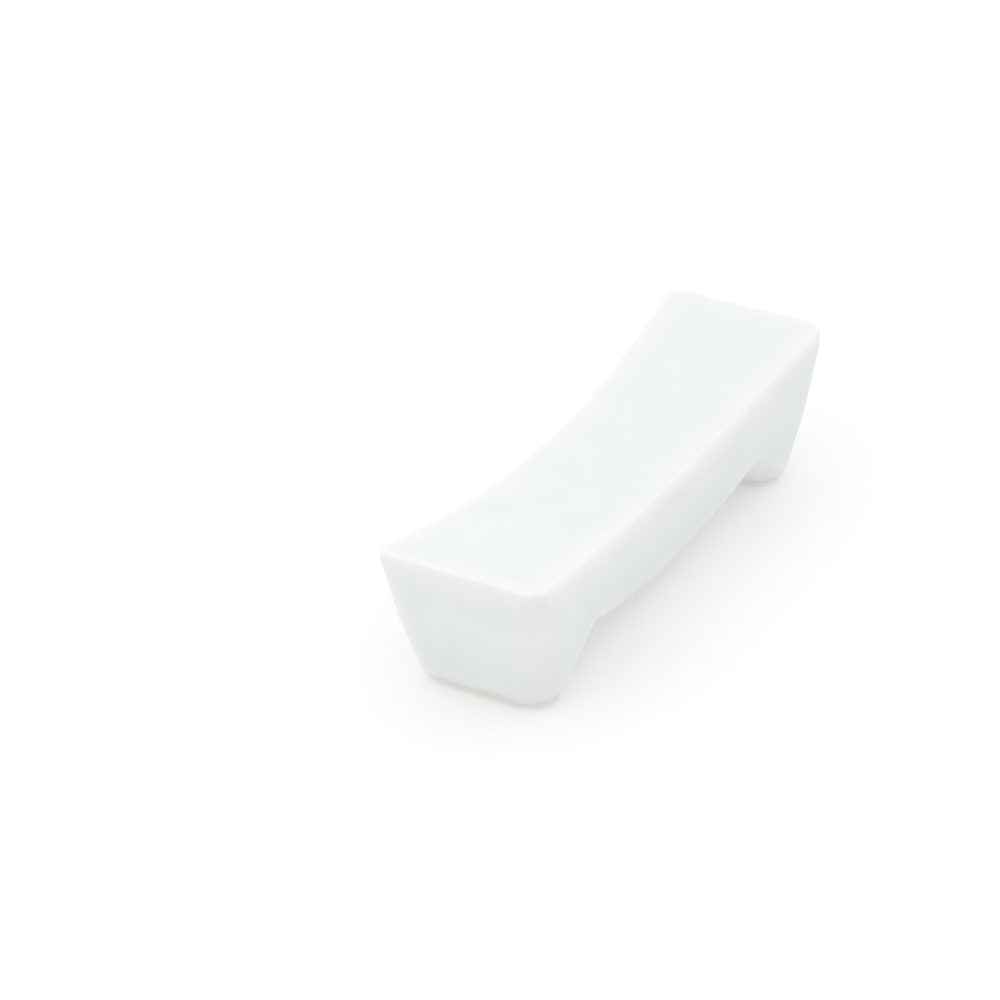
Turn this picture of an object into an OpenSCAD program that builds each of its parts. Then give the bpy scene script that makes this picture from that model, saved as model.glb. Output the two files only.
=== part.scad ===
// Chopstick rest of glazed porcelain: a pillow-shaped bar that sags in the middle and stands on two feet.
// X runs along the length and Y across it. Z is up from the table, which the feet touch at zero.
// Lengths are millimetres and angles are degrees.

/* [Plan] */
// Length between the rims of the two raised ends
rest_length = 65.2; // [52:0.2:80]
// Width between the rims of the two long sides, at the ends
rest_width = 20.6; // [16:0.1:28]
// How far the rim of each long side is drawn in at the middle of the length
rim_waist = 1.25; // [0:0.05:2.5]
// How far the base of each long side is drawn in at the middle of the length
base_waist = 0.7; // [0:0.05:2]
// Radius of the four rim corners, seen from above
rim_corner_r = 2.4; // [1:0.1:4.5]
// Radius of the four base corners, seen from above
base_corner_r = 3.6; // [1:0.1:4.5]

/* [Top] */
// Height at which the top surface would meet the end faces if its rim were sharp
end_height = 17.2; // [15:0.1:22]
// Height of the top surface in the middle of the dip
dip_height = 13.4; // [11:0.1:15]
// Power of the curve from the dip to the ends: 2 is a parabola, less gives straighter ends
sag_power = 1.8; // [1.3:0.05:3]
// How far in from each long side the top surface starts to roll over its rim
side_rim_reach = 1; // [0.6:0.1:2.5]
// How far down each long side its rim's roll ends
side_rim_drop = 2.4; // [0.6:0.1:4]
// How far in from each end face the top surface starts to roll over its rim
end_rim_reach = 1; // [0.6:0.1:2.5]
// How far down each end face its rim's roll ends
end_rim_drop = 5; // [0.6:0.1:6]
// How far a rim's roll fills out its corner: 0.7 is about a quarter circle, 1 a parabola and more is tighter
rim_fullness = 1; // [0.6:0.1:1.5]

/* [Walls] */
// How far each end face leans in from rim to base
end_draft = 4.2; // [1:0.1:6]
// How far each long side leans in from rim to base
side_draft = 2.15; // [0.5:0.05:3]
// How far the walls swell outwards halfway up
wall_swell = 0.2; // [0:0.05:0.8]
// Radius of the roll from the walls into the underside
base_edge_r = 2.5; // [0.8:0.1:2.8]

/* [Feet and arch] */
// Length of each foot, from the base of the end face to the foot of its inner slope
foot_length = 5.3; // [5:0.1:9]
// Horizontal run of each foot's inner slope
slope_run = 6.3; // [3.5:0.1:7]
// Height of the underside at the top of the slopes
arch_end_height = 4.4; // [3.5:0.1:6]
// Height of the underside in the middle, where it sags with the top
arch_mid_height = 1.9; // [0.8:0.1:3]
// How far the curve between the arch and a slope reaches along the length on each side of their meeting
slope_top_reach = 0.85; // [0.3:0.05:1.5]
// How far the curve between a slope and the flat of its foot reaches on each side of their meeting
slope_foot_reach = 0.6; // [0.3:0.05:1.5]

/* [Glaze] */
// Thickness of the fired glaze
glaze_thickness = 0.25; // [0.15:0.01:0.4]
// Height above the table at which the glaze stops round each foot
bare_height = 0.5; // [0.3:0.05:1]
// How much of the rounded underside of each foot is ground away to stand flat
foot_grind = 0.2; // [0.1:0.05:0.4]

/* [Detail] */
// Steps along the arch from its middle to the start of a slope
arch_steps = 9; // [6:1:12]
// Steps along each of the two short curves of a slope
reach_steps = 4; // [3:1:6]
// Steps round each corner, seen from above
corner_steps = 5; // [4:1:8]
// Steps across the width
across_steps = 6; // [4:2:10]
// Steps round each roll of an edge
roll_steps = 4; // [3:1:6]
// Steps down a wall between its two rolls
wall_steps = 3; // [2:1:5]

/* [Hidden] */

half_length = rest_length / 2;
half_width = rest_width / 2;
base_half_length = half_length - end_draft;
base_half_width = half_width - side_draft;

// Where the slope of a foot would meet the table and the arch if nothing were rounded
foot_x = base_half_length - foot_length;
slope_top_x = foot_x - slope_run;
steepness = arch_end_height / slope_run;

// The corner of the base has to end before the inner slope of its foot starts
base_corner = min(base_corner_r, foot_length - slope_foot_reach);
base_corner_x = base_half_length - base_corner;
rim_corner_x = half_length - rim_corner_r;

function mix(a, b, t) = a + (b - a) * t;
function spread(from, to, steps) = [for (i = [0 : steps - 1]) mix(from, to, i / steps)];

// The lower or higher of two heights, with their meeting rounded where they differ by less than soft
function soft_min(a, b, soft) = min(a, b) - pow(max(soft - abs(a - b), 0), 2) / (4 * soft);
function soft_max(a, b, soft) = -soft_min(-a, -b, soft);

// Height of the top surface at x, for a skin that lies depth below the finished surface
function top_height(x, depth) =
    mix(dip_height, end_height, pow(abs(x) / half_length, sag_power)) - depth;

// Heights of the arch and of a foot's slope at x, and the underside that they make with the foot
function arch_height(x, depth) =
    mix(arch_mid_height, arch_end_height, pow(x / slope_top_x, 2)) + depth;
function slope_height(x, depth) =
    steepness * (foot_x - abs(x)) + depth * sqrt(1 + pow(steepness, 2));
function under_height(x, depth) =
    soft_max(-foot_grind,
        soft_min(arch_height(x, depth), slope_height(x, depth), steepness * slope_top_reach),
        steepness * slope_foot_reach);

// How far the middle of the length is drawn in at x, as a share of the full waist
function waist_share(x) = 1 - pow(x / half_length, 2);

// How far a wall has swollen at a share t of its height, as a share of the full swell
function swell_share(t) = 16 * pow(t * (1 - t), 2);

// Where a rounded edge lies between its two ends a and b, whose tangents meet at c: a conic that fills the
// corner out more as its fullness grows, and is a quarter circle at this one where the tangents are square
circle_fullness = sqrt(1 / 2);
function roll(a, c, b, fullness, t) =
    let (wa = pow(1 - t, 2), wc = 2 * fullness * t * (1 - t), wb = pow(t, 2))
    (wa * a + wc * c + wb * b) / (wa + wc + wb);

// Places along half the length: x at the base, x at the rim, and the turn of the wall round the corner
side_stations = concat(
    spread(0, slope_top_x - slope_top_reach, arch_steps),
    spread(slope_top_x - slope_top_reach, slope_top_x + slope_top_reach, reach_steps),
    spread(slope_top_x + slope_top_reach, foot_x - slope_foot_reach, 1),
    spread(foot_x - slope_foot_reach, foot_x + slope_foot_reach, reach_steps),
    [foot_x + slope_foot_reach]);
half_columns = concat(
    [for (x = side_stations) if (x < base_corner_x) [x, x * rim_corner_x / base_corner_x, 0]],
    [for (i = [0 : corner_steps]) [base_corner_x, rim_corner_x, 90 * i / corner_steps]]);
last = len(half_columns) - 1;
columns = [for (i = [-last : last]) half_columns[abs(i)] * (i < 0 ? -1 : 1)];

// Outline of the base and of the rim at a column, on the side of Y that side gives
function base_at(column, side, depth) =
    let (r = base_corner - depth, waist = base_waist * waist_share(column[1]))
    [column[0] + r * sin(column[2]), side * (base_half_width - base_corner - waist + r * cos(column[2]))];
function rim_at(column, side, depth) =
    let (r = rim_corner_r - depth, waist = rim_waist * waist_share(column[1]))
    [column[1] + r * sin(column[2]), side * (half_width - rim_corner_r - waist + r * cos(column[2]))];

// A post is a place on the outline: its base, its rim and the outward direction of the wall there
function side_post(column, side, depth) =
    [base_at(column, side, depth), rim_at(column, side, depth), [sin(column[2]), side * cos(column[2])]];
function end_post(end, t, depth) =
    let (corner = columns[end > 0 ? 2 * last : 0])
    [mix(base_at(corner, end, depth), base_at(corner, -end, depth), t),
     mix(rim_at(corner, end, depth), rim_at(corner, -end, depth), t),
     [end, 0]];

// The posts clockwise from above: the side of +Y, the end of +X, the side of -Y and the end of -X
function posts(depth) = concat(
    [for (i = [0 : 2 * last]) side_post(columns[i], 1, depth)],
    [for (j = [1 : across_steps - 1]) end_post(1, j / across_steps, depth)],
    [for (i = [2 * last : -1 : 0]) side_post(columns[i], -1, depth)],
    [for (j = [1 : across_steps - 1]) end_post(-1, j / across_steps, depth)]);

// A place on the straight wall of a post at height z
function wall_at(post, z) =
    let (xy = mix(post[0], post[1], z / end_height))
    [xy[0], xy[1], z];

// The profile of a post, from its edge on the top surface over the rim and down to its edge underneath
function profile(post, depth) =
    let (out = [post[2][0], post[2][1], 0],
         to_end = pow(post[2][0], 2),
         reach = mix(side_rim_reach, end_rim_reach, to_end) - depth,
         drop = mix(side_rim_drop, end_rim_drop, to_end) - depth,
         edge_r = base_edge_r - depth,
         rim_z = top_height(post[1][0], depth),
         edge_z = under_height(post[0][0], depth),
         rim = wall_at(post, rim_z),
         edge = wall_at(post, edge_z),
         top_x = rim[0] - reach * out[0],
         under_x = edge[0] - edge_r * out[0],
         top_end = [top_x, rim[1] - reach * out[1], top_height(top_x, depth)],
         under_end = [under_x, edge[1] - edge_r * out[1], under_height(under_x, depth)],
         high = rim_z - drop,
         low = edge_z + edge_r)
    concat(
        [for (i = [0 : roll_steps]) roll(top_end, rim, wall_at(post, high), rim_fullness, i / roll_steps)],
        [for (i = [1 : wall_steps - 1])
            let (t = i / wall_steps)
            wall_at(post, mix(high, low, t)) + out * wall_swell * swell_share(t)],
        [for (i = [0 : roll_steps]) roll(wall_at(post, low), edge, under_end, circle_fullness, i / roll_steps)]);

profile_count = 2 * roll_steps + wall_steps + 1;
column_count = len(columns);
post_count = 2 * column_count + 2 * (across_steps - 1);

// The inner places of a surface that spans between the two long sides: the top, or the underside
function span_points(depth, upper) =
    [for (i = [1 : column_count - 2])
        let (ends = [for (side = [1, -1]) profile(side_post(columns[i], side, depth), depth)],
             a = ends[0][upper ? 0 : profile_count - 1],
             b = ends[1][upper ? 0 : profile_count - 1],
             z = upper ? top_height(a[0], depth) : under_height(a[0], depth))
        for (j = [1 : across_steps - 1]) [a[0], mix(a[1], b[1], j / across_steps), z]];

function skin_points(depth) = concat(
    [for (post = posts(depth)) each profile(post, depth)],
    span_points(depth, true),
    span_points(depth, false));

// Numbers of the points: on a post's profile, and on the top surface or the underside
function on_post(p, k) = (p % post_count) * profile_count + k;
function on_span(i, j, upper) =
    let (k = upper ? 0 : profile_count - 1,
         inner = (column_count - 2) * (across_steps - 1),
         start = post_count * profile_count + (upper ? 0 : inner))
    j == 0 ? on_post(i, k)
    : j == across_steps ? on_post(2 * column_count + across_steps - 2 - i, k)
    : i == column_count - 1 ? on_post(column_count + j - 1, k)
    : i == 0 ? on_post(post_count - j, k)
    : start + (i - 1) * (across_steps - 1) + j - 1;

wall_faces = [for (p = [0 : post_count - 1], k = [0 : profile_count - 2]) each [
    [on_post(p, k), on_post(p, k + 1), on_post(p + 1, k + 1)],
    [on_post(p, k), on_post(p + 1, k + 1), on_post(p + 1, k)]]];
top_faces = [for (i = [0 : column_count - 2], j = [0 : across_steps - 1]) each [
    [on_span(i, j, true), on_span(i + 1, j, true), on_span(i + 1, j + 1, true)],
    [on_span(i, j, true), on_span(i + 1, j + 1, true), on_span(i, j + 1, true)]]];
under_faces = [for (i = [0 : column_count - 2], j = [0 : across_steps - 1]) each [
    [on_span(i, j, false), on_span(i + 1, j + 1, false), on_span(i + 1, j, false)],
    [on_span(i, j, false), on_span(i, j + 1, false), on_span(i + 1, j + 1, false)]]];

// The whole closed form at a depth below the finished surface, with its feet still rounded
module form(depth) {
    polyhedron(
        points = skin_points(depth),
        faces = concat(wall_faces, top_faces, under_faces),
        convexity = 6);
}

// Everything higher than z
module above(z) {
    translate([-rest_length, -rest_width, z]) cube([2 * rest_length, 2 * rest_width, 2 * end_height]);
}

// The fired clay, white and bare only where it stands on its two ground feet
module porcelain_body() {
    color("#f1efe9")
    intersection() {
        form(glaze_thickness);
        above(0);
    }
}

// The coat of glass over the clay, wiped away round the feet
module glaze_coat() {
    color("#f8fafa")
    difference() {
        intersection() {
            form(0);
            above(bare_height);
        }
        form(glaze_thickness);
    }
}

porcelain_body();
glaze_coat();
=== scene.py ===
"""A glazed porcelain chopstick rest: a bar that sags in the middle and stands on two feet.

The real one is a single moulded and fired piece, so two pieces make it here: the fired clay, bare only on its
two ground feet, and the coat of glass that was melted over it and wiped away round the feet.
X runs along the rest, Y across it and Z up from the table. Lengths are metres.
"""

import math

import bpy
import numpy as np
from bpy.props import FloatProperty, FloatVectorProperty, PointerProperty
from mathutils import Matrix, Vector


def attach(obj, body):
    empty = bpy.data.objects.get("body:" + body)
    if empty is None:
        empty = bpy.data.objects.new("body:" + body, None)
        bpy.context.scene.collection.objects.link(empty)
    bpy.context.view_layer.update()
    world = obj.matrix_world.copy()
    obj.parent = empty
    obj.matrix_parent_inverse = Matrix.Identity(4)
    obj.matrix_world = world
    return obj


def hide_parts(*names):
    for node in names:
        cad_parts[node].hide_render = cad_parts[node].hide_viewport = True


bl_info = {
    "name": "Porcelain Chopstick Rest",
    "version": (1, 0, 0),
    "blender": (4, 5, 0),
    "location": "3D View > Sidebar > Chopstick Rest",
    "description": "Makes a glazed porcelain chopstick rest and the plain studio that it stands in",
    "category": "Add Mesh",
}

MM = 0.001

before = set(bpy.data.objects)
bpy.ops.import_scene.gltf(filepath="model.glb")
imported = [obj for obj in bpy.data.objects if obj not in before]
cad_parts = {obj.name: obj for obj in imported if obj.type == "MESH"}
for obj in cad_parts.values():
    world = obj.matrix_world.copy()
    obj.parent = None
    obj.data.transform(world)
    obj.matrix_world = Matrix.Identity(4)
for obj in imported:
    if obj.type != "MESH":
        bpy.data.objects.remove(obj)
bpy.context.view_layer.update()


def length(name, description, millimetres):
    """A length that a user can change, given here in millimetres."""
    return FloatProperty(
        name=name, description=description, default=millimetres * MM, min=0, unit="LENGTH", precision=5
    )


def angle(name, description, degrees):
    """An angle that a user can change, given here in degrees."""
    return FloatProperty(name=name, description=description, default=math.radians(degrees), subtype="ANGLE")


def number(name, description, value, lowest=0, **others):
    """A plain number that a user can change."""
    return FloatProperty(name=name, description=description, default=value, min=lowest, **others)


def linear(hex_colour):
    """An sRGB hex colour as the linear red, green and blue that Blender works with, by sRGB's formula."""
    shares = [int(hex_colour[i : i + 2], 16) / 255 for i in (1, 3, 5)]
    return [s / 12.92 if s <= 0.04045 else ((s + 0.055) / 1.055) ** 2.4 for s in shares]


def colour(name, description, hex_colour):
    """A colour that a user can change, given here in sRGB hex."""
    return FloatVectorProperty(
        name=name, description=description, default=linear(hex_colour), min=0, max=1, size=3, subtype="COLOR"
    )


class RestSizes(bpy.types.PropertyGroup):
    """Sizes of the fired rest."""

    rest_length: length("Length", "Length between the rims of the two raised ends", 65.2)
    rest_width: length("Width", "Width between the rims of the two long sides, at the ends", 20.6)
    rim_waist: length("Rim waist", "How far the rim of each long side is drawn in at the middle", 1.25)
    base_waist: length("Base waist", "How far the base of each long side is drawn in at the middle", 0.7)
    rim_corner_r: length("Rim corner", "Radius of the four rim corners, seen from above", 2.4)
    base_corner_r: length("Base corner", "Radius of the four base corners, seen from above", 3.6)
    end_height: length("End height", "Height of the top at the end faces, if its rim were sharp", 17.2)
    dip_height: length("Dip height", "Height of the top in the middle of the dip", 13.4)
    sag_power: number("Sag power", "Power of the curve from dip to ends: 2 is a parabola", 1.8, lowest=1)
    side_rim_reach: length("Side rim reach", "How far in from each long side the top starts to roll over", 1)
    side_rim_drop: length("Side rim drop", "How far down each long side its rim's roll ends", 2.4)
    end_rim_reach: length("End rim reach", "How far in from each end face the top starts to roll over", 1)
    end_rim_drop: length("End rim drop", "How far down each end face its rim's roll ends", 5)
    rim_fullness: number("Rim fullness", "How far a rim's roll fills out its corner: 1 is a parabola", 1)
    end_draft: length("End draft", "How far each end face leans in from rim to base", 4.2)
    side_draft: length("Side draft", "How far each long side leans in from rim to base", 2.15)
    wall_swell: length("Wall swell", "How far the walls swell outwards halfway up", 0.2)
    base_edge_r: length("Base edge", "Radius of the roll from the walls into the underside", 2.5)
    foot_length: length("Foot length", "From the base of the end face to the foot of its inner slope", 5.3)
    slope_run: length("Slope run", "Horizontal run of each foot's inner slope", 6.3)
    arch_end_height: length("Arch end", "Height of the underside at the top of the slopes", 4.4)
    arch_mid_height: length("Arch middle", "Height of the underside in the middle", 1.9)
    slope_top_reach: length("Slope top reach", "Reach of the curve between the arch and a slope", 0.85)
    slope_foot_reach: length("Slope foot reach", "Reach of the curve between a slope and its foot", 0.6)
    glaze_thickness: length("Glaze thickness", "Thickness of the fired glaze where it is full", 0.25)
    bare_height: length("Bare height", "Height above the table at which the glaze stops", 0.5)
    foot_grind: length("Foot grind", "How much of each foot's rounded underside is ground away", 0.2)


class RestFinish(bpy.types.PropertyGroup):
    """Colours and gloss of the glaze and of the bare clay."""

    thin_glaze: colour("Thin glaze", "Colour on the rims, where the glaze has run thin", "#DDDEDC")
    full_glaze: colour("Full glaze", "Colour where the glaze has its full thickness", "#D3D7D8")
    gloss_roughness: number("Glaze roughness", "Roughness of the fired glaze", 0.09, max=1, subtype="FACTOR")
    clay: colour("Clay", "Colour of the bare fired clay", "#EBE6DB")
    # The flashed clay is darker than the kiln's toast alone, so that it also paints the shade where the foot
    # meets the table
    flashed_clay: colour("Flashed clay", "Colour of the clay that the kiln toasts beside the glaze", "#BDB299")
    ripple_height: length("Glaze ripple", "Depth of the slow waves that dipping leaves in the glaze", 0.06)
    thin_reach: length("Thin reach", "How far from its edges the glaze is drawn thin", 4.5)


class StudioLook(bpy.types.PropertyGroup):
    """Colours and brightness of the studio that the rest stands in, where 1 shows as white."""

    floor: colour("Floor", "Colour of the floor", "#BCBCBC")
    floor_glow: number("Floor glow", "Light that the floor gives by itself, from lamps under it", 0.38)
    tent: colour("Tent", "Colour of the white tent all round", "#FFFFFF")
    tent_strength: number("Tent strength", "Brightness of the tent all round", 1.27)
    lamp_strength: number("Lamp strength", "What the lamp adds to the tent's brightness at its middle", 0.6)
    lamp_azimuth: angle("Lamp azimuth", "Direction of the lamp behind the tent, from +X towards +Y", 150)
    lamp_elevation: angle("Lamp elevation", "Height of the lamp behind the tent over the horizon", 30)
    lamp_reach: angle("Lamp reach", "How far round its middle the lamp's glow on the tent fades out", 30)


def mix(a, b, share):
    """The value that lies a share of the way from a to b."""
    return a + (b - a) * share


def smooth_step(share):
    """An even S curve from 0 to 1, flat at both ends and held there outside them."""
    held = np.clip(share, 0, 1)
    return held * held * (3 - 2 * held)


def soft_min(a, b, soft):
    """The lower of a and b, less a quarter of the square of how far they are nearer than soft, over soft."""
    return np.minimum(a, b) - np.maximum(soft - np.abs(a - b), 0) ** 2 / (4 * soft)


def soft_max(a, b, soft):
    """The higher of a and b, with their meeting rounded as in soft_min."""
    return -soft_min(-a, -b, soft)


def roll(a, corner, b, fullness, share):
    """A rounded edge from a to b whose tangents meet at corner: a conic, a weighted mean of the three points.

    The weights are (1 - t) squared, twice the fullness times t times (1 - t), and t squared.
    """
    near, middle, far = (1 - share) ** 2, 2 * fullness * share * (1 - share), share**2
    return (near * a + middle * corner + far * b) / (near + middle + far)


class RestForm:
    """The closed form of the rest, or of a skin below its surface, as one grid of points whatever the depth.

    Posts stand round the outline and each carries a profile: the rim's roll, the wall and the base's roll.
    The top and the underside span between the posts of the two long sides.
    """

    ARCH_STEPS, SLOPE_STEPS, CORNER_STEPS, ACROSS_STEPS = 36, 42, 18, 40
    ROLL_STEPS, WALL_STEPS = 14, 16
    # Where the steps along half the length grow finer, as a share of the way to the top of a foot's slope
    FINE_FROM_SHARE = 0.9
    # The fullness with which a roll between square tangents is a quarter circle
    CIRCLE_FULLNESS = math.sqrt(0.5)

    def __init__(self, sizes):
        for name in RestSizes.__annotations__:
            setattr(self, name, getattr(sizes, name))
        self.half_length = self.rest_length / 2
        self.half_width = self.rest_width / 2
        self.base_half_length = self.half_length - self.end_draft
        self.base_half_width = self.half_width - self.side_draft
        self.foot_x = self.base_half_length - self.foot_length
        self.slope_top_x = self.foot_x - self.slope_run
        self.steepness = self.arch_end_height / self.slope_run
        self.base_corner = min(self.base_corner_r, self.foot_length - self.slope_foot_reach)
        self.base_corner_x = self.base_half_length - self.base_corner
        self.rim_corner_x = self.half_length - self.rim_corner_r

        fine_x = self.slope_top_x * self.FINE_FROM_SHARE
        straight = np.concatenate([
            np.linspace(0, fine_x, self.ARCH_STEPS, endpoint=False),
            np.linspace(fine_x, self.base_corner_x, self.SLOPE_STEPS, endpoint=False),
        ])
        turn = np.linspace(0, math.pi / 2, self.CORNER_STEPS + 1)
        base_x = np.concatenate([straight, np.full(len(turn), self.base_corner_x)])
        turn = np.concatenate([np.zeros(len(straight)), turn])
        self.base_x, self.turn = (np.concatenate([-half[:0:-1], half]) for half in (base_x, turn))
        self.rim_x = self.base_x * self.rim_corner_x / self.base_corner_x
        self.column_count = len(self.base_x)
        self.post_count = 2 * (self.column_count + self.ACROSS_STEPS - 1)
        self.profile_count = 2 * self.ROLL_STEPS + self.WALL_STEPS + 1

    def top_height(self, x, depth):
        """Height of the top: it rises with a power of the distance from the middle, less depth."""
        share = (np.abs(x) / self.half_length) ** self.sag_power
        return mix(self.dip_height, self.end_height, share) - depth

    def under_height(self, x, depth):
        """Height of the underside: a parabola for the arch, a slope for each foot and its flat, rounded."""
        arch = mix(self.arch_mid_height, self.arch_end_height, (x / self.slope_top_x) ** 2) + depth
        slope = self.steepness * (self.foot_x - np.abs(x)) + depth * math.sqrt(1 + self.steepness**2)
        hollow = soft_min(arch, slope, self.steepness * self.slope_top_reach)
        return soft_max(np.full_like(x, -self.foot_grind), hollow, self.steepness * self.slope_foot_reach)

    def side_outline(self, x, corner_r, half_width, waist, side, depth):
        """A long side seen from above: straight, drawn in by a parabola, then round the corners on an arc."""
        drawn_in = waist * (1 - (self.rim_x / self.half_length) ** 2)
        r = corner_r - depth
        y = side * (half_width - corner_r - drawn_in + r * np.cos(self.turn))
        return np.stack([x + r * np.sin(self.turn), y], 1)

    def posts(self, depth):
        """Base, rim and outward direction of each post, clockwise from above, starting on the side of +Y."""
        base_line = self.base_x, self.base_corner, self.base_half_width, self.base_waist
        rim_line = self.rim_x, self.rim_corner_r, self.half_width, self.rim_waist
        bases = [self.side_outline(*base_line, side, depth) for side in (1, -1)]
        rims = [self.side_outline(*rim_line, side, depth) for side in (1, -1)]
        outs = [np.stack([np.sin(self.turn), side * np.cos(self.turn)], 1) for side in (1, -1)]
        share = np.arange(1, self.ACROSS_STEPS)[:, None] / self.ACROSS_STEPS

        def ring(sides, far_end, near_end):
            return np.concatenate([sides[0], far_end, sides[1][::-1], near_end])

        base = ring(bases, mix(bases[0][-1], bases[1][-1], share), mix(bases[1][0], bases[0][0], share))
        rim = ring(rims, mix(rims[0][-1], rims[1][-1], share), mix(rims[1][0], rims[0][0], share))
        out = ring(outs, np.tile([1.0, 0.0], (len(share), 1)), np.tile([-1.0, 0.0], (len(share), 1)))
        return base, rim, out

    def profiles(self, depth):
        """The profile of every post: the rim's roll, the leaning and swelling wall, and the base's roll."""
        base, rim, out = self.posts(depth)

        def wall(z):
            flat = mix(base, rim, (z / self.end_height)[:, None])
            return np.concatenate([flat, z[:, None]], 1)

        # None on the long sides and all on the end faces
        to_end = out[:, 0] ** 2
        reach = mix(self.side_rim_reach, self.end_rim_reach, to_end) - depth
        drop = mix(self.side_rim_drop, self.end_rim_drop, to_end) - depth
        edge_r = self.base_edge_r - depth
        rim_z = self.top_height(rim[:, 0], depth)
        edge_z = self.under_height(base[:, 0], depth)
        rim_corner, edge_corner = wall(rim_z), wall(edge_z)
        top_xy = rim_corner[:, :2] - reach[:, None] * out
        under_xy = edge_corner[:, :2] - edge_r * out
        top_end = np.column_stack([top_xy, self.top_height(top_xy[:, 0], depth)])
        under_end = np.column_stack([under_xy, self.under_height(under_xy[:, 0], depth)])
        high, low = rim_z - drop, edge_z + edge_r

        share = np.linspace(0, 1, self.ROLL_STEPS + 1)[:, None, None]
        upper = roll(top_end, rim_corner, wall(high), self.rim_fullness, share)
        lower = roll(wall(low), edge_corner, under_end, self.CIRCLE_FULLNESS, share)
        shares = np.arange(1, self.WALL_STEPS) / self.WALL_STEPS
        # From nothing at both ends of the wall, where it is flat, to all of it halfway
        swell = self.wall_swell * (4 * shares * (1 - shares)) ** 2
        outward = np.column_stack([out, np.zeros(len(out))])
        middle = np.stack([wall(mix(high, low, t)) + outward * s for t, s in zip(shares, swell)])
        return np.concatenate([upper, middle, lower]).transpose(1, 0, 2)

    def points(self, depth):
        """All points of the form at a depth: the profiles, then the insides of the top and the underside."""
        profiles = self.profiles(depth)
        share = (np.arange(1, self.ACROSS_STEPS) / self.ACROSS_STEPS)[None, :, None]
        spans = []
        for end, height in ((0, self.top_height), (-1, self.under_height)):
            edge = profiles[:, end]
            a = edge[1 : self.column_count - 1]
            b = edge[self.column_count + self.ACROSS_STEPS - 1 :][: self.column_count][::-1][1:-1]
            span = mix(a[:, None], b[:, None], share)
            span[..., 0] = a[:, None, 0]
            span[..., 2] = height(a[:, 0], depth)[:, None]
            spans.append(span.reshape(-1, 3))
        return np.concatenate([profiles.reshape(-1, 3), *spans])

    def edge_distance(self, points):
        """How far each point lies from the nearest edge, where two faces would meet if they weren't rounded.

        Of a point's depths behind the top, the long side, the end face and the underside, the smallest is
        about zero, because the point is on that face, and the next smallest is this distance.
        """
        x, y, z = points.T
        rise = z / self.end_height
        drawn_in = mix(self.base_waist, self.rim_waist, rise) * (1 - (x / self.half_length) ** 2)
        depths = [
            self.top_height(x, 0) - z,
            mix(self.base_half_width, self.half_width, rise) - drawn_in - np.abs(y),
            mix(self.base_half_length, self.half_length, rise) - np.abs(x),
            z - self.under_height(x, 0),
        ]
        return np.sort(depths, axis=0)[1]

    def faces(self):
        """Triangles of the form, outwards: the band of profiles, then the top and the underside."""
        posts, points = np.arange(self.post_count), np.arange(self.profile_count)
        band = posts[:, None] * self.profile_count + points
        band = np.concatenate([band, band[:1]])
        inner_count = (self.column_count - 2) * (self.ACROSS_STEPS - 1)
        grids = [band[:, ::-1]]
        for order, end in enumerate((0, -1)):
            edge = band[:-1, end]
            across = self.ACROSS_STEPS - 1
            grid = np.zeros((self.column_count, self.ACROSS_STEPS + 1), int)
            grid[:, 0] = edge[: self.column_count]
            grid[-1, 1:-1] = edge[self.column_count : self.column_count + across]
            grid[:, -1] = edge[self.column_count + across : 2 * self.column_count + across][::-1]
            grid[0, 1:-1] = edge[2 * self.column_count + across :][::-1]
            start = band[:-1].size + order * inner_count
            grid[1:-1, 1:-1] = start + np.arange(inner_count).reshape(self.column_count - 2, across)
            grids.append(grid[:, ::-1] if end == -1 else grid)
        return np.concatenate([grid_faces(grid) for grid in grids])


def grid_faces(grid):
    """Two triangles for each cell of a grid of point numbers."""
    a, b, c, d = grid[:-1, :-1], grid[:-1, 1:], grid[1:, 1:], grid[1:, :-1]
    return np.concatenate([np.stack([a, b, c], -1).reshape(-1, 3), np.stack([a, c, d], -1).reshape(-1, 3)])


# A cut lands no nearer to either end of an edge than this share of it, so that it leaves no slivers
CUT_MARGIN = 0.08


def cut_faces(faces, level):
    """Cuts triangles where level, a value at each point, is zero, and keeps the side where it is more.

    Returns the kept triangles, the pairs of points whose edges the cut crosses, how far along each it lies as
    a share, and the cut's own pieces. Each crossed edge gets a new point, numbered after the old ones.
    """
    above = level[faces] > 0
    count = above.sum(1)
    split = (count == 1) | (count == 2)
    lone_above = count[split] == 1
    lone = np.where(lone_above, above[split].argmax(1), above[split].argmin(1))
    a, b, c = (np.take_along_axis(faces[split], ((lone + i) % 3)[:, None], 1)[:, 0] for i in range(3))
    crossed = np.sort(np.stack([a, b, a, c], 1).reshape(-1, 2), 1)
    pairs, new_point = np.unique(crossed, axis=0, return_inverse=True)
    ab, ac = new_point.reshape(-1, 2).T + len(level)
    kept = np.concatenate([
        faces[count == 3],
        np.stack([a, ab, ac], 1)[lone_above],
        np.stack([ab, b, c], 1)[~lone_above],
        np.stack([ab, c, ac], 1)[~lone_above],
    ])
    line = np.where(lone_above[:, None], np.stack([ab, ac], 1), np.stack([ac, ab], 1))
    first, second = level[pairs[:, 0]], level[pairs[:, 1]]
    share = np.clip(first / (first - second), CUT_MARGIN, 1 - CUT_MARGIN)
    return kept, pairs, share, line


def with_cut(values, pairs, share):
    """Values at the points, followed by those at the new points of a cut."""
    share = share.reshape(-1, *[1] * (values.ndim - 1))
    return np.concatenate([values, mix(values[pairs[:, 0]], values[pairs[:, 1]], share)])


def unit(vectors):
    """The vectors, each made one long."""
    return vectors / np.linalg.norm(vectors, axis=1, keepdims=True)


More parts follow.
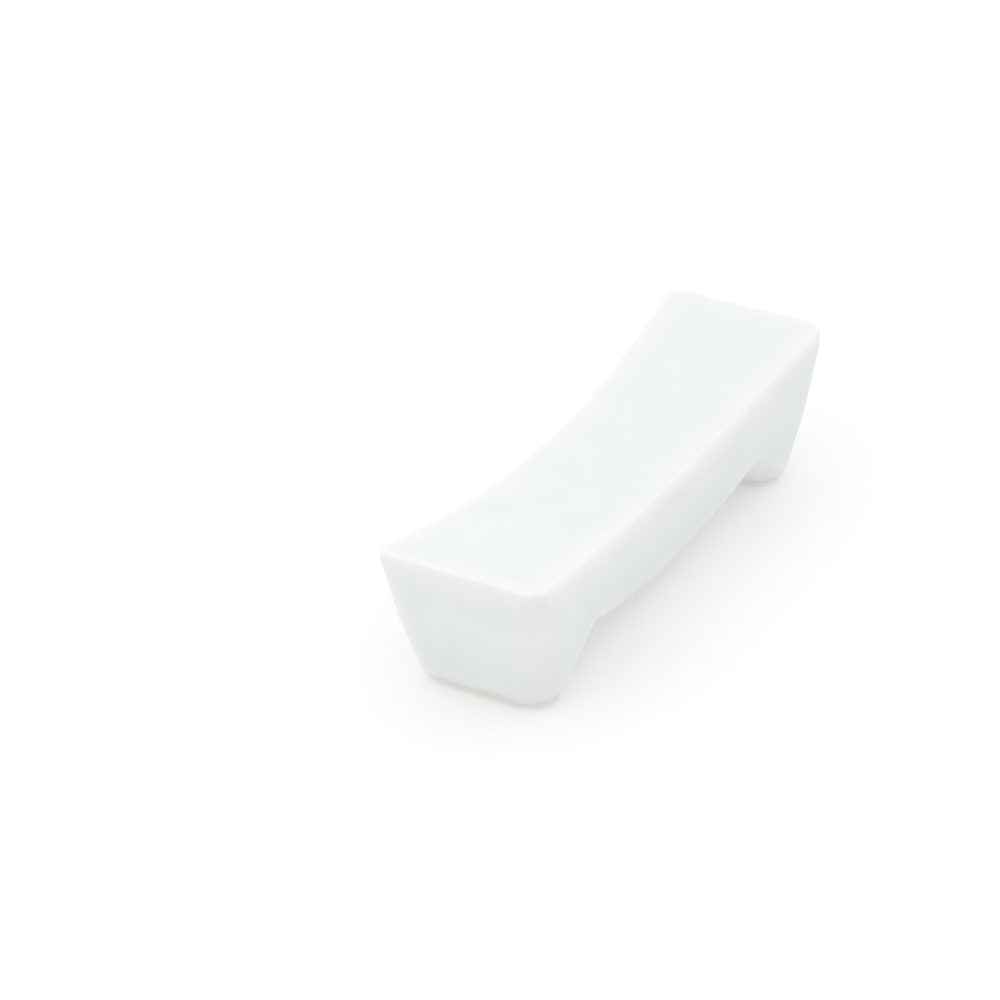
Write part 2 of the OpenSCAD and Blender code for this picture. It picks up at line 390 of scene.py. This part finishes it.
def make_piece(name, points, faces, values, node, material):
    """Puts a surface into a mesh object with its values as attributes, and hands it to the frame."""
    used, faces = np.unique(faces, return_inverse=True)
    faces = faces.reshape(-1, 3)
    mesh = bpy.data.meshes.new(name)
    mesh.vertices.add(len(used))
    mesh.vertices.foreach_set("co", points[used].astype(np.float32).ravel())
    mesh.loops.add(faces.size)
    mesh.loops.foreach_set("vertex_index", faces.astype(np.int32).ravel())
    mesh.polygons.add(len(faces))
    mesh.polygons.foreach_set("loop_start", np.arange(0, faces.size, 3, dtype=np.int32))
    mesh.update(calc_edges=True)
    if mesh.validate():
        raise RuntimeError(f"{name} had faces that Blender had to mend")
    mesh.shade_smooth()
    for label, value in values.items():
        mesh.attributes.new(label, "FLOAT", "POINT").data.foreach_set("value", value[used].astype(np.float32))
    piece = bpy.data.objects.new(name, mesh)
    bpy.context.scene.collection.objects.link(piece)
    mesh.materials.append(material)
    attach(piece, "root")
    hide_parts(node)
    return piece


def ripple(points, seed, shortest, longest, wave_count=10):
    """Slow waves from 0 to 1: the mean of plane waves of seeded directions, lengths and phases."""
    rng = np.random.default_rng(seed)
    direction = unit(rng.normal(size=(wave_count, 3)))
    wave_length = rng.uniform(shortest, longest, wave_count)
    phase = rng.uniform(0, 2 * math.pi, wave_count)
    waves = np.sin(points @ (direction / wave_length[:, None]).T * 2 * math.pi + phase).mean(1)
    # The mean seldom passes 2 / sqrt(wave_count) either way, and this brings that to 0 and 1
    spread = math.sqrt(wave_count) / 4
    return np.clip(0.5 + waves * spread, 0, 1)


def add_node(tree, kind, inputs=None, **settings):
    """Adds a node with its settings, and sets each named or numbered input, or links it to a socket."""
    node = tree.nodes.new(kind)
    for name, value in settings.items():
        setattr(node, name, value)
    for key, value in (inputs or {}).items():
        if isinstance(value, bpy.types.NodeSocket):
            tree.links.new(value, node.inputs[key])
        else:
            node.inputs[key].default_value = value
    return node


def rgba(colour_value):
    """A colour with full opacity."""
    return [*colour_value, 1]


def noise(tree, place, size, detail):
    """Node noise of about 0 to 1, with lumps as far apart as size and finer ones in them."""
    inputs = {"Vector": place, "Scale": 1 / size, "Detail": detail}
    return add_node(tree, "ShaderNodeTexNoise", inputs).outputs["Fac"]


def combined(tree, operation, first, second, **settings):
    """Node arithmetic on two values."""
    return add_node(tree, "ShaderNodeMath", {0: first, 1: second}, operation=operation, **settings).outputs[0]


def blended(tree, share, first, second):
    """Node colour a share of the way from the first to the second."""
    share_in, first_in, second_in, colour_out = 0, 6, 7, 2
    inputs = {share_in: share, first_in: rgba(first), second_in: rgba(second)}
    return add_node(tree, "ShaderNodeMix", inputs, data_type="RGBA").outputs[colour_out]


def bumped(tree, height, depth):
    """Node normals of a surface that a height of 0 to 1 raises by up to a depth."""
    inputs = {"Strength": 1.0, "Distance": depth, "Height": height}
    return add_node(tree, "ShaderNodeBump", inputs).outputs["Normal"]


def new_material(name):
    """An empty node material, and its node tree."""
    material = bpy.data.materials.new(name)
    material.use_nodes = True
    material.node_tree.nodes.clear()
    return material, material.node_tree


def add_shader(tree, inputs):
    """Gives a material's node tree its surface shader with these inputs."""
    shader = add_node(tree, "ShaderNodeBsdfPrincipled", inputs)
    add_node(tree, "ShaderNodeOutputMaterial", {"Surface": shader.outputs[0]})


def glaze_material(finish):
    """Clear feldspar glaze, dipped and fired over white porcelain.

    To the eye it is wet-looking and slightly blue where the glass is thick, warmer and whiter where it has
    run thin on the rims, with a faint orange-peel ripple that softens what it mirrors.
    """
    mottle_size, haze_size, peel_size = 7 * MM, 2.2 * MM, 0.9 * MM
    mottle_detail, haze_detail, peel_detail = 2.0, 3.0, 1.0
    noise_middle = 0.5
    haze_spread = 0.3
    peel_depth = 0.0016 * MM
    glass_ior = 1.5
    # Light that enters the glass and comes out of the clay below it, which softens the shade on the rims
    milk_share, milk_reach, milk_tint = 0.15, 0.8 * MM, (1.0, 0.95, 0.9)

    material, tree = new_material("Clear glaze over white porcelain, dipped and fired")
    place = add_node(tree, "ShaderNodeTexCoord").outputs["Object"]
    depth = add_node(tree, "ShaderNodeAttribute", attribute_name="glaze_depth").outputs["Fac"]
    mottle = combined(tree, "SUBTRACT", noise(tree, place, mottle_size, mottle_detail), noise_middle)
    shade = combined(tree, "ADD", depth, mottle, use_clamp=True)
    roughness = add_node(tree, "ShaderNodeMapRange", {
        "Value": noise(tree, place, haze_size, haze_detail),
        "To Min": finish.gloss_roughness * (1 - haze_spread),
        "To Max": finish.gloss_roughness * (1 + haze_spread),
    }).outputs["Result"]
    add_shader(tree, {
        "Base Color": blended(tree, shade, finish.thin_glaze, finish.full_glaze),
        "Roughness": roughness,
        "IOR": glass_ior,
        "Subsurface Weight": milk_share,
        "Subsurface Radius": milk_tint,
        "Subsurface Scale": milk_reach,
        "Normal": bumped(tree, noise(tree, place, peel_size, peel_detail), peel_depth),
    })
    return material


def clay_material(finish):
    """Porcelain biscuit, fired bare and ground flat on its feet.

    To the eye it is matt and warm white with a fine grit, toasted tan in a thin line where the glaze begins;
    that line's colour is darker still, as painted shade where the foot meets the table.
    """
    grit_size, stain_size = 0.18 * MM, 1.6 * MM
    grit_detail, stain_detail = 2.0, 3.0
    toast_and_shade_strength = 1.8
    grit_depth = 0.012 * MM
    dry_roughness, clay_ior = 0.85, 1.45

    material, tree = new_material("Porcelain biscuit, fired bare and ground flat")
    place = add_node(tree, "ShaderNodeTexCoord").outputs["Object"]
    flash = add_node(tree, "ShaderNodeAttribute", attribute_name="flash").outputs["Fac"]
    # Where the bare clay is toasted, patchy with stains, and darkened with painted shade at the foot's contact
    # with the table
    stained_and_shaded = combined(tree, "MULTIPLY", flash, noise(tree, place, stain_size, stain_detail))
    toast_and_foot_shade = combined(tree, "MULTIPLY", stained_and_shaded, toast_and_shade_strength, use_clamp=True)
    add_shader(tree, {
        "Base Color": blended(tree, toast_and_foot_shade, finish.clay, finish.flashed_clay),
        "Roughness": dry_roughness,
        "IOR": clay_ior,
        "Normal": bumped(tree, noise(tree, place, grit_size, grit_detail), grit_depth),
    })
    return material


def floor_material(look):
    """White acrylic board, sanded and lit from below.

    To the eye it is even, matt and white, with only a faint shadow where something stands on it.
    """
    sanded_roughness, acrylic_ior = 0.9, 1.3
    white = (1, 1, 1)
    material, tree = new_material("White acrylic board, sanded and lit from below")
    add_shader(tree, {
        "Base Color": rgba(look.floor),
        "Roughness": sanded_roughness,
        "IOR": acrylic_ior,
        "Emission Color": rgba(white),
        "Emission Strength": look.floor_glow,
    })
    return material


class CHOPSTICKREST_OT_fired_clay(bpy.types.Operator):
    """Make the fired clay, with its feet ground flat"""

    bl_idname = "chopstick_rest.fired_clay"
    bl_label = "Fired Clay"

    # The height from which the bare clay is fully toasted and darkened with painted shade, as a share of the
    # bare height
    TOASTED_AND_SHADED_SHARE = 0.4
    # Edges that turn by more than this are drawn sharp, as only those of the ground flats do
    GROUND_EDGE_ANGLE = math.radians(12)

    def execute(self, context):
        sizes, finish = context.scene.chopstick_rest_sizes, context.scene.chopstick_rest_finish
        form = RestForm(sizes)
        points, faces = form.points(sizes.glaze_thickness), form.faces()
        level = points[:, 2]
        kept, pairs, share, _ = cut_faces(faces, level)
        ground = cut_faces(faces, -level)[0]
        points = with_cut(points, pairs, share)
        points[len(level) :, 2] = 0
        points[:, 2] = np.maximum(points[:, 2], 0)
        # The kiln toasts the bare clay beside the glaze, and its colour is darkened further as painted shade
        # where the foot meets the table, but the ground flat is freshly cut
        flash = smooth_step(points[:, 2] / (self.TOASTED_AND_SHADED_SHARE * sizes.bare_height))
        piece = make_piece(
            "fired_clay", points, np.concatenate([kept, ground]), {"flash": flash},
            "porcelain_body", clay_material(finish),
        )
        piece.data.set_sharp_from_angle(angle=self.GROUND_EDGE_ANGLE)
        return {"FINISHED"}


class CHOPSTICKREST_OT_glaze(bpy.types.Operator):
    """Make the coat of glass over the clay, with a rounded edge round each foot"""

    bl_idname = "chopstick_rest.glaze"
    bl_label = "Glaze"

    BEAD_STEPS = 5
    # The share of the glaze's thickness that the wet sponge takes off at its edge, and how far up it wipes
    WIPED_SHARE, WIPED_REACH = 0.6, 1.2 * MM
    # The share of it that is missing all over, and the further share where it is drawn thin at an edge
    MISSING_SHARE, DRAWN_SHARE = 0.08, 0.3
    # The slow waves' seed, and their shortest and longest lengths
    WAVES = 4, 9 * MM, 20 * MM
    # The foot's roll slopes down by about 45 degrees where the bead lies on it
    BEAD_FALL = math.sqrt(0.5)
    # How deep the bead's last row goes into the clay, so that no gap shows between them
    BEAD_TUCK = 0.03 * MM

    def execute(self, context):
        sizes, finish = context.scene.chopstick_rest_sizes, context.scene.chopstick_rest_finish
        form = RestForm(sizes)
        faces = form.faces()
        full, inner = form.points(0), form.points(sizes.glaze_thickness)
        # The edge's bead, drawn below, reaches down the slope from the cut to the bare height
        bead_r = (1 - self.WIPED_SHARE) * sizes.glaze_thickness
        level = inner[:, 2] - sizes.bare_height - bead_r * self.BEAD_FALL
        # The glaze thins in slow waves and over the edges of the form, and evenly towards its own edge
        wiped = 1 - smooth_step(level / self.WIPED_REACH)
        waves = finish.ripple_height / sizes.glaze_thickness * ripple(inner, *self.WAVES)
        drawn = 1 - smooth_step(form.edge_distance(full) / finish.thin_reach)
        thinned = mix(self.MISSING_SHARE + waves + self.DRAWN_SHARE * drawn, self.WIPED_SHARE, wiped)
        outer = mix(full, inner, thinned[:, None])
        depth = (1 - waves) * (1 - drawn)

        kept, pairs, share, line = cut_faces(faces, level)
        outer, inner, depth = (with_cut(v, pairs, share) for v in (outer, inner, depth))
        count, edge_count = len(outer), len(pairs)
        outer_edge, inner_edge = outer[-edge_count:], inner[-edge_count:]
        a, b = (line - len(level)).T
        along = np.zeros_like(outer_edge)
        step = outer_edge[b] - outer_edge[a]
        np.add.at(along, a, step)
        np.add.at(along, b, step)
        raised = outer_edge - inner_edge
        towards_bare = unit(np.cross(unit(along), unit(raised)))
        thickness = np.linalg.norm(raised, axis=1, keepdims=True)

        # The edge's bead: a quarter circle from the glaze's face down to the clay, then back under the glaze
        rows = [outer_edge]
        for turn in np.linspace(0, math.pi / 2, self.BEAD_STEPS + 1)[1:]:
            rows.append(inner_edge + raised * math.cos(turn) + towards_bare * thickness * math.sin(turn))
        rows[-1] = rows[-1] - unit(raised) * self.BEAD_TUCK
        points = np.concatenate([outer, *rows[1:], inner])
        starts = [len(level), *(count + i * edge_count for i in range(self.BEAD_STEPS))]
        starts.append(count + self.BEAD_STEPS * edge_count + len(level))
        bead = []
        for upper, lower in zip(starts[:-1], starts[1:]):
            bead.append(np.stack([b + upper, a + upper, a + lower], 1))
            bead.append(np.stack([b + upper, a + lower, b + lower], 1))
        lining = kept[:, ::-1] + count + self.BEAD_STEPS * edge_count
        depth = np.concatenate([depth, np.tile(depth[-edge_count:], self.BEAD_STEPS), depth])
        make_piece(
            "fired_glaze", points, np.concatenate([kept, *bead, lining]), {"glaze_depth": depth},
            "glaze_coat", glaze_material(finish),
        )
        return {"FINISHED"}


# The photograph's viewpoint, found by fitting this form to the outline in it
CAMERA_AZIMUTH, CAMERA_ELEVATION = math.radians(-59.264), math.radians(30.786)
CAMERA_ROLL = math.radians(1.453)
CAMERA_DISTANCE, CAMERA_AIM_HEIGHT = 427.97 * MM, 9 * MM
PICTURE_PX, FOCAL_PX = 1000, 4046.7
# Where in the picture the point that the distance is measured to lies, from the left and from the top
AIM_AT_PX = (610.11, 496.90)
SENSOR_WIDTH_MM = 36
CLIP_START = 10 * MM


def add_camera():
    """The camera at the photograph's viewpoint, moved aside to put the rest where it is in the picture."""
    turn, rise = CAMERA_AZIMUTH, CAMERA_ELEVATION
    back = Vector((math.sin(turn) * math.cos(rise), -math.cos(turn) * math.cos(rise), math.sin(rise)))
    level_right = Vector((math.cos(turn), math.sin(turn), 0))
    level_up = back.cross(level_right)
    right = level_right * math.cos(CAMERA_ROLL) - level_up * math.sin(CAMERA_ROLL)
    up = level_right * math.sin(CAMERA_ROLL) + level_up * math.cos(CAMERA_ROLL)
    aside, below = ((at - PICTURE_PX / 2) / FOCAL_PX * CAMERA_DISTANCE for at in AIM_AT_PX)
    place = Vector((0, 0, CAMERA_AIM_HEIGHT)) + back * CAMERA_DISTANCE - right * aside + up * below
    data = bpy.data.cameras.new("camera")
    data.sensor_width = SENSOR_WIDTH_MM
    data.lens = FOCAL_PX / PICTURE_PX * SENSOR_WIDTH_MM
    data.clip_start = CLIP_START
    camera = bpy.data.objects.new("camera", data)
    camera.matrix_world = Matrix.Translation(place) @ Matrix((right, up, back)).transposed().to_4x4()
    bpy.context.scene.collection.objects.link(camera)
    bpy.context.scene.camera = camera


def towards(azimuth, elevation):
    """The direction at an azimuth from +X towards +Y and an elevation, one long."""
    level = math.cos(elevation)
    return Vector((math.cos(azimuth) * level, math.sin(azimuth) * level, math.sin(elevation)))


class CHOPSTICKREST_OT_studio(bpy.types.Operator):
    """Make the plain floor, the soft light and the camera"""

    bl_idname = "chopstick_rest.studio"
    bl_label = "Studio"

    FLOOR_HALF = 3.0
    # How far the floor lies below the feet, so that the two never share a plane
    FLOOR_DROP = 0.02 * MM

    def execute(self, context):
        look = context.scene.chopstick_rest_studio
        mesh = bpy.data.meshes.new("floor")
        corners = [(-1, -1), (1, -1), (1, 1), (-1, 1)]
        points = [(x * self.FLOOR_HALF, y * self.FLOOR_HALF, -self.FLOOR_DROP) for x, y in corners]
        mesh.from_pydata(points, [], [(0, 1, 2, 3)])
        mesh.materials.append(floor_material(look))
        floor = bpy.data.objects.new("floor", mesh)
        context.scene.collection.objects.link(floor)

        world = bpy.data.worlds.new("studio")
        world.use_nodes = True
        tree = world.node_tree
        tree.nodes.clear()
        # The tent glows evenly, and more towards the lamp behind it, by how nearly a direction is the lamp's
        direction = add_node(tree, "ShaderNodeTexCoord").outputs["Generated"]
        to_lamp = towards(look.lamp_azimuth, look.lamp_elevation)
        nearness = add_node(
            tree, "ShaderNodeVectorMath", {0: direction, 1: to_lamp}, operation="DOT_PRODUCT"
        ).outputs["Value"]
        brightness = add_node(tree, "ShaderNodeMapRange", {
            "Value": nearness,
            "From Min": math.cos(look.lamp_reach),
            "To Min": look.tent_strength,
            "To Max": look.tent_strength + look.lamp_strength,
        }, interpolation_type="SMOOTHSTEP").outputs["Result"]
        tent = add_node(tree, "ShaderNodeBackground", {"Color": rgba(look.tent), "Strength": brightness})
        add_node(tree, "ShaderNodeOutputWorld", {"Surface": tent.outputs[0]})
        context.scene.world = world
        add_camera()
        context.scene.view_settings.view_transform = "Standard"
        return {"FINISHED"}


class CHOPSTICKREST_PT_panel(bpy.types.Panel):
    """Sizes, finish and studio of the rest, with a button for each of its pieces"""

    bl_label = "Chopstick Rest"
    bl_idname = "CHOPSTICKREST_PT_panel"
    bl_space_type = "VIEW_3D"
    bl_region_type = "UI"
    bl_category = "Chopstick Rest"

    def draw(self, context):
        for operator in OPERATORS:
            self.layout.operator(operator.bl_idname)
        for kind, place in PROPERTY_PLACES.items():
            box = self.layout.box()
            box.label(text=kind.__doc__)
            for name in kind.__annotations__:
                box.prop(getattr(context.scene, place), name)


OPERATORS = (CHOPSTICKREST_OT_fired_clay, CHOPSTICKREST_OT_glaze, CHOPSTICKREST_OT_studio)
PROPERTY_PLACES = {
    RestSizes: "chopstick_rest_sizes",
    RestFinish: "chopstick_rest_finish",
    StudioLook: "chopstick_rest_studio",
}


def register():
    """Adds the classes to Blender, and the properties to the scene."""
    for kind, place in PROPERTY_PLACES.items():
        bpy.utils.register_class(kind)
        setattr(bpy.types.Scene, place, PointerProperty(type=kind))
    for kind in (*OPERATORS, CHOPSTICKREST_PT_panel):
        bpy.utils.register_class(kind)


def unregister():
    """Takes them out again, in the opposite order."""
    for kind in reversed((*OPERATORS, CHOPSTICKREST_PT_panel)):
        bpy.utils.unregister_class(kind)
    for kind, place in reversed(PROPERTY_PLACES.items()):
        delattr(bpy.types.Scene, place)
        bpy.utils.unregister_class(kind)


def main():
    """Makes the pieces and the studio in order."""
    register()
    bpy.ops.chopstick_rest.fired_clay()
    bpy.ops.chopstick_rest.glaze()
    bpy.ops.chopstick_rest.studio()


if __name__ == "__main__":
    main()
